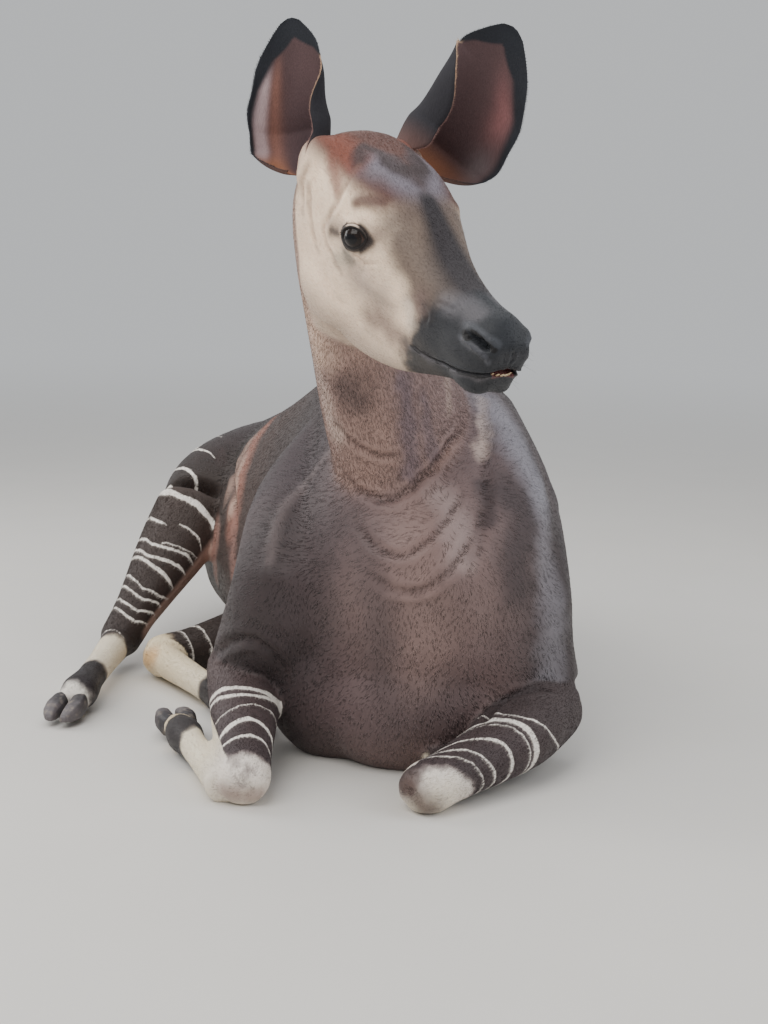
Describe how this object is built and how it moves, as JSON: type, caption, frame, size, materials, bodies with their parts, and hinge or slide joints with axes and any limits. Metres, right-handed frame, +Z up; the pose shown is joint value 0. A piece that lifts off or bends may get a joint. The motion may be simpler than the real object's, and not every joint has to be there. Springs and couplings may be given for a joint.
{
  "type": "okapi",
  "caption": "Life-size okapi lying on its chest with folded legs, head raised and turned to its left.",
  "frame": {"origin": "centre of the bounding box's bottom face, on the floor", "axes": "+Z up, the animal faces -Y, its own right side is -X"},
  "size_m": [0.9588, 2.0452, 1.2537],
  "materials": {
    "coat": "short dense hair",
    "neck_coat": "short dense hair",
    "face_coat": "short dense hair",
    "leg_coat": "short hair with white bands",
    "pale_coat": "short pale hair",
    "ear_skin": "thinly haired skin",
    "eye": "wet gloss",
    "hoof": "worn horn",
    "tooth": "enamel"
  },
  "bodies": {
    "root": {"torso": "coat", "neck": "neck_coat", "head": "face_coat", "fore_right_forearm": "leg_coat", "fore_right_cannon": "pale_coat", "fore_right_hoof_a": "hoof", "fore_right_hoof_b": "hoof", "fore_left_forearm": "leg_coat", "fore_left_cannon": "pale_coat", "fore_left_hoof_a": "hoof", "fore_left_hoof_b": "hoof", "hind_right_gaskin": "leg_coat", "hind_right_cannon": "pale_coat", "hind_right_hoof_a": "hoof", "hind_right_hoof_b": "hoof", "hind_left_gaskin": "leg_coat", "hind_left_cannon": "pale_coat", "hind_left_hoof_a": "hoof", "hind_left_hoof_b": "hoof", "ear_right": "ear_skin", "ear_left": "ear_skin", "incisors": "tooth", "tail": "coat", "eye_right": "eye", "eye_left": "eye"}
  },
  "joints": []
}
